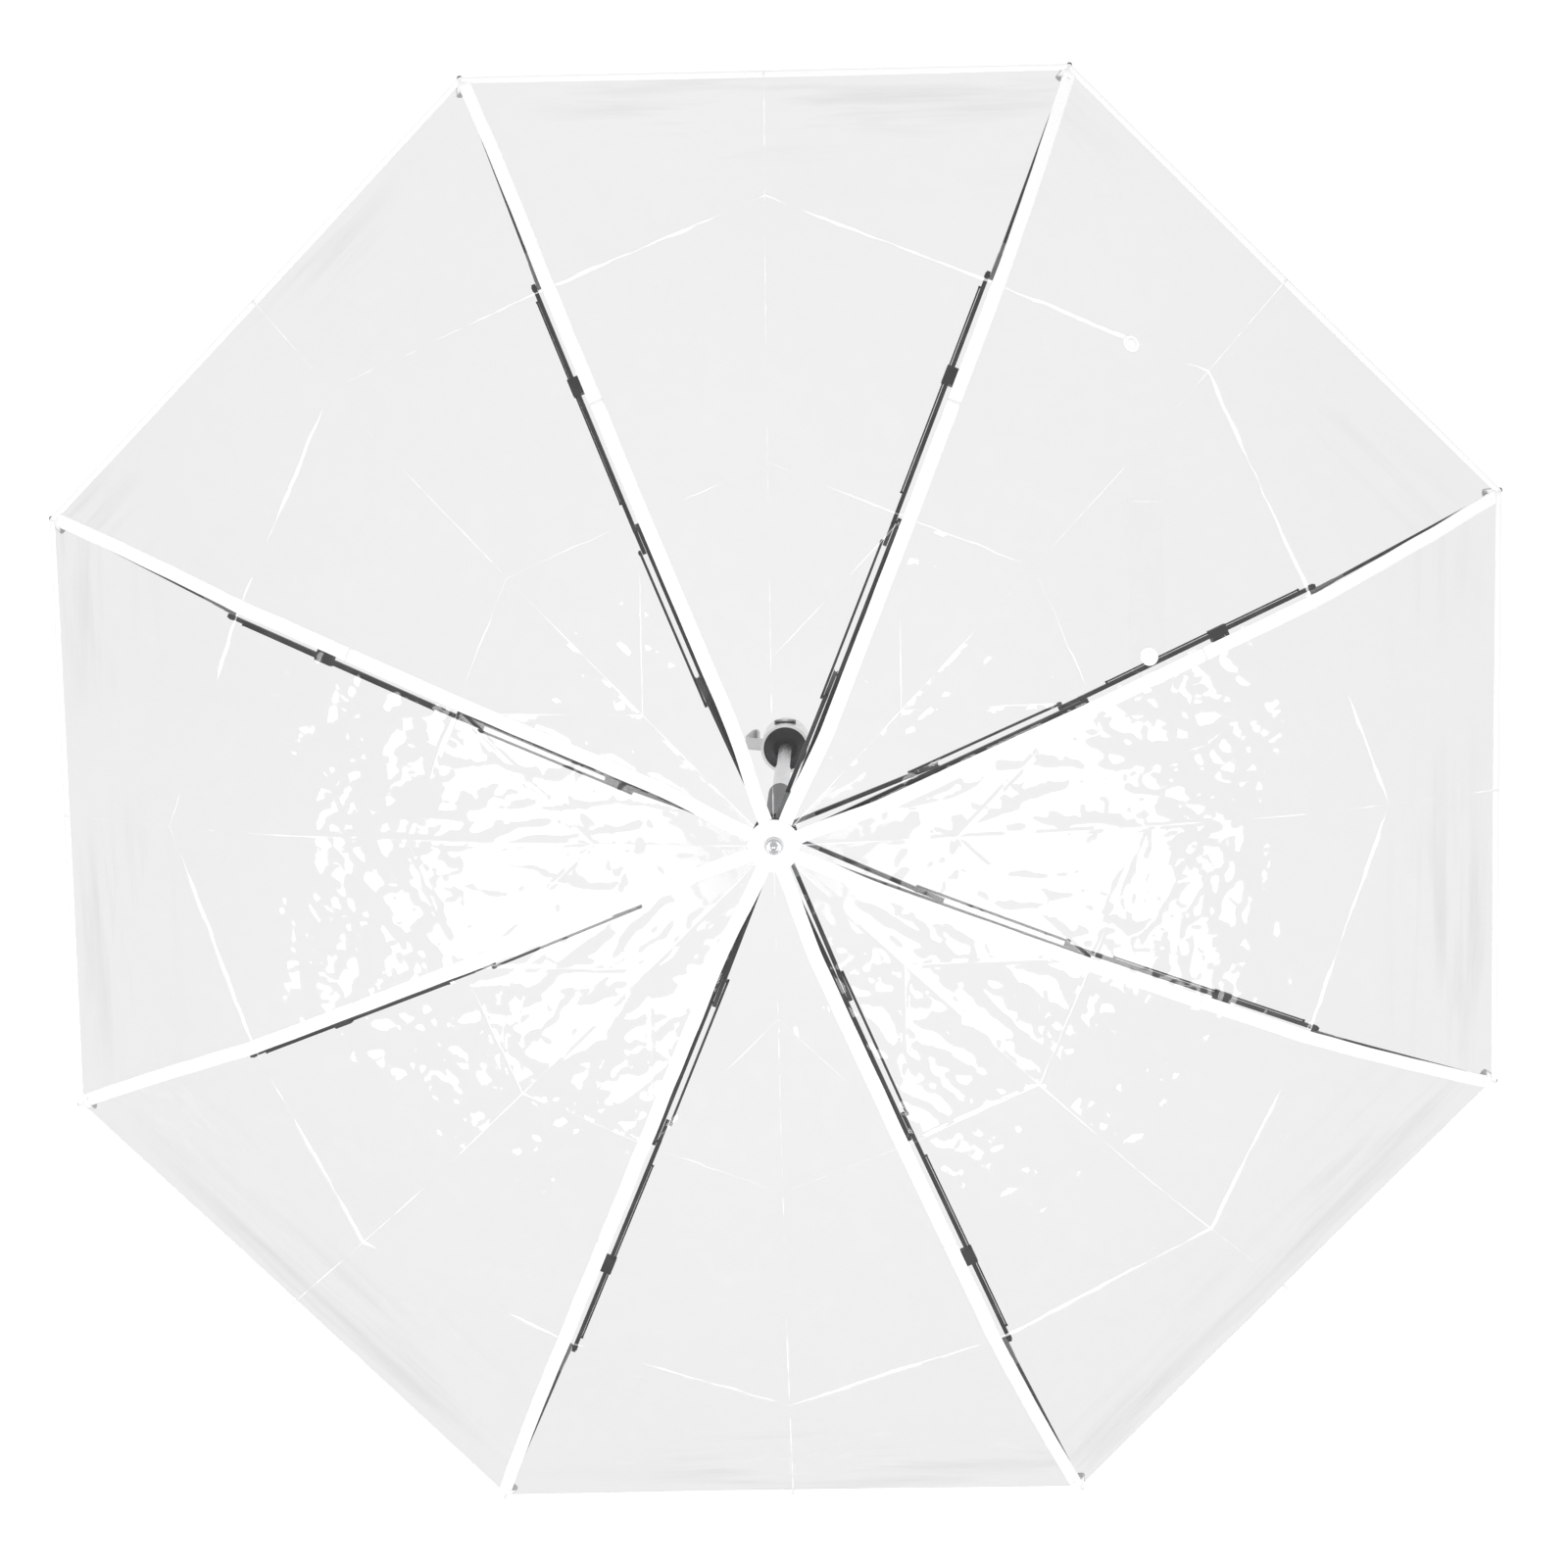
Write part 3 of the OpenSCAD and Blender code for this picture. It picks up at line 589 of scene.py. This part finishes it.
def squash_side(obj, part, side):
    """The direction in which half a gore's piece would fold in towards its rib's line, square to
    the rib.

    The direction tips out of the gore's plane, by half of what the piece's outer corner drops
    below it. It is worked out but not used; the piece only gets its own copy of its mesh.
    """
    angle = SEGMENTS[part][2]
    along = Vector((math.cos(angle), 0, -math.sin(angle)))
    across = Vector((0, side, -HALF_TAN * math.tan(angle)))
    across = (across - across.dot(along) * along).normalized()
    drop = HALF_TAN * (math.tan(BEYOND[part]) - math.tan(angle)) * math.cos(angle)
    across = (across - drop / 2 * side * along.cross(across)).normalized()
    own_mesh(obj)


def rim_x(share):
    """Where the straight rim crosses a line at that share of the half gore."""
    return RIM.x / (1 + share * HALF_TAN**2)


def side_name(side):
    return "left" if side > 0 else "right"


def film_patch(part, k, side):
    """One of the three pieces of half a gore, on its own rib."""
    start, end, angle = SEGMENTS[part]
    points, places = [], []
    for i in range(ROWS):
        along = i / (ROWS - 1)
        for j in range(COLUMNS):
            share = j / (COLUMNS - 1)
            x = start + ((end if end else rim_x(share)) - start) * along
            y = share * x * HALF_TAN
            points.append(film_point(x, side * y, k))
            places.append((x, y))
    name = f"film_{part}_{k}_{side_name(side)}"
    faces = grid_faces(ROWS, COLUMNS, 0, side > 0)
    obj = piece(name, points, faces, f"{part}_{k}", FILM, places=places)
    squash_side(obj, part, side)
    return obj


film = [film_patch(part, k, side) for k in ARMS for part in SEGMENTS for side in (1, -1)]
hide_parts("canopy")

# ---------------------------------------------------------------- tapes, star, binding and pockets

UP = Vector((0, 0, 1))
TAPE_HALF = 4.1 * MM
TAPE_LIFT = 0.25 * MM
TAPE_THICK = 0.35 * MM
TAPE_ROOT = 44 * MM  # where a tape's first piece, at the crown, ends
TAPE_SPLIT = (FILM_ELBOW.x + FILM_KNEE.x) / 2
TAPE_END = RIM.x - 3 * MM
ROOT_BEND = Vector((5 * MM, 0))
SLACK = {5: 3.4 * MM, 8: 1.6 * MM}  # how far two of the tapes have slipped back over their ribs


def tape_shift(x, k):
    """How far the tape lies to one side of its rib. Two tapes lie nearly over theirs."""
    out = ramp(x, SHOULDER.x, 60 * MM)
    back = ramp(x, KNEE.x, RIM.x - KNEE.x)
    aside = (1.2 + 3.9 * out * out * (3 - 2 * out) - 3.6 * back * back) * MM
    return SLACK.get(k, 0.0) * out * (1 - back) - aside


def tape(name, k, x0, x1):
    """Seam tape along rib k from x0 to x1."""
    rows, places = [], []
    steps, across = ((60, 9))
    for i in range(steps):
        t = i / (steps - 1)
        x = x0 + (x1 - x0) * t
        half = min(TAPE_HALF, x * HALF_TAN * 0.98)
        waver = tape_shift(x, k) + 0.35 * MM * noise.noise(Vector((x * 40, k * 5.0, 0)))
        row = []
        for j in range(across):
            y = half * (2 * j / (across - 1) - 1) + waver
            row.append((film_point(x, y, k, TAPE_LIFT), UP))
            places.append((x, y))
        rows.append(row)
    verts, faces = slab(rows, TAPE_THICK)
    obj = piece(name, verts, faces, None, TAPE, places=places * 2)
    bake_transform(obj)
    return obj


TAPES = (
    ("tape_root", SHOULDER.x, TAPE_ROOT, "head", "top_{}", SHOULDER + ROOT_BEND),
    ("tape_inner", TAPE_ROOT, TAPE_SPLIT, "top_{}", "mid_{}", ELBOW),
    ("tape_outer", TAPE_SPLIT, TAPE_END, "mid_{}", "tip_{}", KNEE),
)
trim = [
    tape(f"{name}_{k}", k, x0, x1)
    for k in ARMS
    for name, x0, x1, a, b, hinge in TAPES
]
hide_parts("canopy_trim")


def star():
    """Round patch under the finial, where the tapes meet."""
    rings, spokes = 8, 96
    inner, outer = 4.2 * MM, SHOULDER.x + 0.6 * MM
    lower = []
    for i in range(rings):
        r = inner + (outer - inner) * i / (rings - 1)
        height = profile_height(r, HINGE_ROUNDING) + TAPE_LIFT + 0.15 * MM
        for j in range(spokes):
            a = 2 * math.pi * j / spokes
            lower.append(Vector((r * math.cos(a), r * math.sin(a), height)))
    upper = [p + UP * TAPE_THICK for p in lower]
    places = [(p.x, p.y) for p in lower]
    n = len(lower)
    faces = []
    for i in range(rings - 1):
        for j in range(spokes):
            a, b = i * spokes + j, i * spokes + (j + 1) % spokes
            faces.append((n + a, n + a + spokes, n + b + spokes, n + b))
            faces.append((b, b + spokes, a + spokes, a))
    for i, turned in ((0, False), (rings - 1, True)):
        for j in range(spokes):
            a, b = i * spokes + j, i * spokes + (j + 1) % spokes
            face = (a, n + a, n + b, b)
            faces.append(face[::-1] if turned else face)
    return piece("star", lower + upper, faces, "head", TAPE, places=places * 2)


star()

BINDING_W = 4.6 * MM
BINDING_THICK = 0.75 * MM
BINDING_OVER = 0.4 * MM  # past the film's edge


def binding(k, side):
    """Bound edge of half a gore's rim."""
    rows, places = [], []
    steps, across = ((90, 5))
    for i in range(steps):
        share = i / (steps - 1)
        x_rim = rim_x(share)
        row = []
        for j in range(across):
            back = BINDING_W * (1 - j / (across - 1)) - BINDING_OVER
            x = x_rim - back * math.cos(ARM_STEP / 2)
            y = side * (share * x_rim * HALF_TAN - back * math.sin(ARM_STEP / 2) * share)
            bulge = 0.25 * MM * math.sin(math.pi * j / (across - 1))
            row.append((film_point(x, y, k, bulge - 0.3 * MM), UP))
        rows.append(row if side < 0 else row[::-1])
        places += [(share * RIM.x * HALF_TAN, BINDING_W * j / (across - 1)) for j in range(across)]
    verts, faces = slab(rows, BINDING_THICK)
    name = f"binding_{k}_{side_name(side)}"
    obj = piece(name, verts, faces, f"tip_{k}", TAPE, places=places * 2)
    squash_side(obj, "tip", side)


for k in ARMS:
    for side in (1, -1):
        binding(k, side)

POCKET_BACK, POCKET_LENGTH = 13, 11.5  # mm: its start behind the rib's tip, and its length


def pocket(k):
    """Small sewn pocket that holds a rib's tip in the rim's corner."""
    around, along = 14, 7
    axis = Vector((math.cos(TIP_DROOP), 0, -math.sin(TIP_DROOP)))
    up = Vector((math.sin(TIP_DROOP), 0, math.cos(TIP_DROOP)))
    base = Vector((TIP.x, 0, TIP.y))
    verts, places = [], []
    for i in range(along):
        t = i / (along - 1)
        centre = base + axis * (-POCKET_BACK + POCKET_LENGTH * t) * MM + up * 0.7 * MM
        wide, high = (5.6 - 2.6 * t) * MM, (2.9 - 0.5 * t) * MM
        for j in range(around):
            a = 2 * math.pi * j / around
            y = wide * math.cos(a)
            verts.append(arm_turn(k) @ (centre + Vector((0, y, 0)) + up * high * math.sin(a)))
            places.append((POCKET_LENGTH * MM * t, y))
    faces = ring_faces(along, around) + end_faces(len(verts), around)
    piece(f"pocket_{k}", verts, faces, f"tip_{k}", TAPE, places=places)


for k in ARMS:
    pocket(k)

# ---------------------------------------------------------------- closure strap and snaps

STRAP_WIDTH = 22 * MM
STRAP_NEAR, STRAP_FAR = Vector((236.5 * MM, -2 * MM)), Vector((276 * MM, 92 * MM))
STRAP_ROUND = 6 * MM  # of the free end's corners
STRAP_LIFT, STRAP_CURL, STRAP_THICK = 0.9 * MM, 0.8 * MM, 0.4 * MM


def closure():
    """Clear band on the film beside the first arm, with its free end across the rib."""
    length = (STRAP_FAR - STRAP_NEAR).length
    along = (STRAP_FAR - STRAP_NEAR).normalized()
    across = Vector((along.y, -along.x))
    rows = []
    steps, lanes = 30, 7
    for i in range(steps):
        t = i / (steps - 1)
        from_end = 1 - min(1.0, t * length / STRAP_ROUND)
        round_end = min(1.0, math.sqrt(max(0.0, 1 - from_end**2)) + 0.55)
        curl = STRAP_CURL * (1 - t) ** 2
        row = []
        for j in range(lanes):
            aside = across * STRAP_WIDTH * (j / (lanes - 1) - 0.5) * round_end
            p = STRAP_NEAR + along * length * t + aside
            row.append((film_point(p.x, p.y, 1, STRAP_LIFT + curl), UP))
        rows.append(row[::-1])
    verts, faces = slab(rows, STRAP_THICK)
    obj = piece("closure_band", verts, faces, "mid_1", STRAP_FILM)
    squash_side(obj, "mid", 1)
    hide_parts("closure_strap")


closure()


def turned_part(name, centre, up, outline, body, look):
    """A round part about the line up through centre, from (radius, height) points in mm."""
    side = up.orthogonal().normalized()
    other = up.cross(side)
    spokes = 40
    verts = []
    for r, h in outline:
        for j in range(spokes):
            a = 2 * math.pi * j / spokes
            verts.append(centre + (side * math.cos(a) + other * math.sin(a)) * r * MM + up * h * MM)
    faces = ring_faces(len(outline), spokes)
    faces.append(tuple(range(spokes - 1, -1, -1)))
    faces.append(tuple(range(len(verts) - spokes, len(verts))))
    return piece(name, verts, faces, body, look)


SNAP = [
    (5.4, 0), (5.5, 0.5), (5.1, 1.0), (4.2, 1.2), (3.9, 0.9), (2.6, 0.9), (2.3, 1.6), (1.6, 1.9),
    (0.3, 1.95),
]


def up_on_film(x, y, k):
    """The direction square to the film at a place in arm k's local axes."""
    step = 2 * MM
    dx = film_point(x + step, y, k) - film_point(x - step, y, k)
    dy = film_point(x, y + step, k) - film_point(x, y - step, k)
    return dx.cross(dy).normalized()


def snap(name, x, y, k, lift):
    """Half of the snap, lift above the film at a place on arm k."""
    centre, up = film_point(x, y, k, lift), up_on_film(x, y, k)
    return turned_part(name, centre, up, SNAP, f"mid_{k}", WHITE)


cap = snap("snap_cap", 241 * MM, 8 * MM, 1, 2.1 * MM)
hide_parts("snap_buttons")
stud = snap("snap_stud", 342 * MM, -92 * MM, 2, 1.5 * MM)
squash_side(stud, "mid", -1)

# ---------------------------------------------------------------- finial

FINIAL = [
    (2.4, 0), (2.4, 5.8), (4.6, 6.2), (4.9, 6.9), (4.9, 8.2), (4.5, 9.2), (3.9, 9.7), (3.3, 9.6),
    (2.9, 9.3), (2.4, 9.6), (1.7, 9.9), (1.3, 10.6), (0.9, 11.1), (0.2, 11.3),
]
finial_foot = Vector((0, 0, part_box("finial_cap")[0][2]))
finial = turned_part("finial_button", finial_foot, UP, FINIAL, "head", BRIGHT)
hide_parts("finial_cap")

# ---------------------------------------------------------------- springs


def spring(node, turns, radius, wire, along):
    """A coil in a CAD spring's place, on the handle's body."""
    low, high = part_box(node)
    middle = (low + high) / 2
    half = ((high - low).dot(along) / 2 - wire) * along
    start, end = middle - half, middle + half
    side = along.orthogonal().normalized()
    other = along.cross(side)
    steps, around = 24, 8
    verts = []
    for i in range(turns * steps + 1):
        a = 2 * math.pi * i / steps
        out = side * math.cos(a) + other * math.sin(a)
        centre = start.lerp(end, i / (turns * steps))
        for j in range(around):
            b = 2 * math.pi * j / around
            verts.append(centre + out * (radius + wire * math.cos(b)) + along * wire * math.sin(b))
    faces = ring_faces(turns * steps + 1, around, True) + end_faces(len(verts), around)
    obj = piece(f"{node}_coil", verts, faces, "handle", WIRE)
    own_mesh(obj)
    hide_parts(node)


spring("main_spring", 34, 2.9 * MM, 0.5 * MM, UP)
spring("button_spring", 5, 2.2 * MM, 0.3 * MM, Vector((0, 1, 0)))

# ---------------------------------------------------------------- button's mark and wrist strap

BUTTON_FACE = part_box("push_button")[1][1]
BUTTON_Z = 21 * MM
MARK_GAP, MARK_THICK = 0.02 * MM, 0.15 * MM


def button_mark(name, outline):
    """A flat white mark on the button's face, from points on X and Z in mm about its centre."""
    face = BUTTON_FACE + MARK_GAP
    n = len(outline)
    verts = [Vector((x * MM, face, BUTTON_Z + z * MM)) for x, z in outline]
    verts += [v + Vector((0, MARK_THICK, 0)) for v in verts]
    faces = [tuple(range(n)), tuple(range(2 * n - 1, n - 1, -1))]
    faces += [(i, (i + 1) % n, n + (i + 1) % n, n + i)[::-1] for i in range(n)]
    piece(name, verts, faces, "button", ICON, smooth=False)


button_mark("mark_up", [(-3, 1.1), (3, 1.1), (0, 4.9)])
button_mark("mark_bar", [(-3.6, -0.35), (3.6, -0.35), (3.6, 0.35), (-3.6, 0.35)])
button_mark("mark_down", [(3, -1.1), (-3, -1.1), (0, -4.9)])


def curve_points(points, steps):
    """A smooth closed line through points, as a Catmull-Rom spline."""
    out = []
    n = len(points)
    for i in range(n):
        p0, p1, p2, p3 = (points[(i + d) % n] for d in (-1, 0, 1, 2))
        for s in range(steps):
            t = s / steps
            out.append(
                0.5 * ((2 * p1) + (p2 - p0) * t + (2 * p0 - 5 * p1 + 4 * p2 - p3) * t * t
                       + (3 * p1 - 3 * p2 + p3 - p0) * t**3)
            )
    return out


def ribbon_loop(name, outline, width, thickness, look, body):
    """A closed loop of flat webbing. Its outline lies in X and Z, and its width along Y."""
    line = curve_points([Vector((x * MM, 0, z * MM)) for x, z in outline], 14)
    n = len(line)
    verts, faces, places = [], [], []
    half, edge = width / 2, 0.3 * MM
    run = 0.0
    section = [
        (-half, 0.5), (-half + edge, 1), (half - edge, 1), (half, 0.5),
        (half, -0.5), (half - edge, -1), (-half + edge, -1), (-half, -0.5),
    ]
    for i, p in enumerate(line):
        along = (line[(i + 1) % n] - line[i - 1]).normalized()
        out = Vector((along.z, 0, -along.x))
        twist = 0.3 * MM * math.sin(2 * math.pi * i / n)
        for y, t in section:
            verts.append(p + out * t * thickness / 2 + Vector((twist * y / half, y, 0)))
            places.append((run, y))
        run += (line[(i + 1) % n] - p).length
    m = len(section)
    for i in range(n):
        for j in range(m):
            a, b = i * m + j, i * m + (j + 1) % m
            c, d = ((i + 1) % n) * m + j, ((i + 1) % n) * m + (j + 1) % m
            faces.append((a, c, d, b))
    return piece(name, verts, faces, body, look, places=places)


STRAP_LINE = [
    (-17.2, 12.8), (-19.0, 10.3), (-20.0, 5), (-19.9, -2), (-20.3, -20), (-20.9, -38),
    (-22.8, -50.8), (-25.2, -47), (-27.4, -30), (-29.1, -10), (-29.0, -1), (-26.0, 5.6),
    (-20.2, 11.1), (-18.3, 13.5), (-16.6, 16.4), (-15.2, 17.9), (-13.3, 16.8), (-13.4, 15.0),
    (-15.0, 14.1),
]
loop = ribbon_loop(
    "strap_loop", STRAP_LINE, 8.8 * MM, 1.1 * MM, WEBBING, "strap"
)
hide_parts("wrist_strap")

# ---------------------------------------------------------------- floor, light and camera

FLOOR_Z, FLOOR_HALF = -1.3, 14.0


def lamp(name, place, aim, size, watts, size_y=None):
    """A soft box at a place, pointing at aim. It is square unless size_y is given."""
    data = bpy.data.lights.new(name, "AREA")
    data.energy = watts
    data.size = size
    if size_y:
        data.shape = "RECTANGLE"
        data.size_y = size_y
    obj = bpy.data.objects.new(name, data)
    bpy.context.scene.collection.objects.link(obj)
    obj.location = place
    obj.rotation_mode = "QUATERNION"
    obj.rotation_quaternion = (Vector(aim) - Vector(place)).to_track_quat("-Z", "Y")
    return obj


def floor():
    """White studio floor, well below the umbrella, with a faint glow of its own."""
    m, tree = material("floor")
    s = add(
        tree, "ShaderNodeBsdfPrincipled", Roughness=0.9, Emission_Color=(1, 1, 1, 1),
        Emission_Strength=0.25,
    )
    grain = noise_at(tree, coords(tree), 40.0)
    link(tree, mixed(tree, grain, (0.93, 0.93, 0.93), (0.95, 0.95, 0.95)), s.inputs["Base Color"])
    finish_material(tree, s)
    signs = ((-1, -1), (1, -1), (1, 1), (-1, 1))
    corners = [(x * FLOOR_HALF, y * FLOOR_HALF, FLOOR_Z) for x, y in signs]
    piece("floor", corners, [(0, 1, 2, 3)], None, m)


floor()
world = bpy.data.worlds.new("studio")
world.use_nodes = True
background = world.node_tree.nodes["Background"]
background.inputs["Color"].default_value = (1, 1, 1, 1)
background.inputs["Strength"].default_value = 0.68
bpy.context.scene.world = world
for side in (-1, 1):
    place = (side * 1.06, -0.56, 2.0)
    lamp(f"box_{side}", place, aim=(0, 0, 0.5), size=1.1, watts=18.0, size_y=0.95)
fill = lamp("fill", (-0.3, 2.2, 1.6), aim=(0, 0, 0.4), size=1.8, watts=16.0)
fill.visible_glossy = False  # it lights the tapes at the back, and isn't mirrored in the film

# The camera's turn from looking straight down, as an axis whose length is the angle.
CAMERA_TURN = Vector((math.radians(7.23), math.radians(-0.87), math.radians(1.11)))
CAMERA_ABOVE_RIM = 1.975
camera = bpy.data.objects.new("camera", bpy.data.cameras.new("camera"))
bpy.context.scene.collection.objects.link(camera)
camera.data.lens = 72.7
camera.data.sensor_width = 36
camera.location = (0.036, 0.262, RIM.y + CAMERA_ABOVE_RIM)
camera.rotation_mode = "QUATERNION"
camera_turn = Matrix.Rotation(CAMERA_TURN.length, 3, CAMERA_TURN.normalized())
camera.rotation_quaternion = camera_turn.inverted().to_quaternion()
bpy.context.scene.camera = camera
bpy.context.scene.view_settings.view_transform = "Standard"
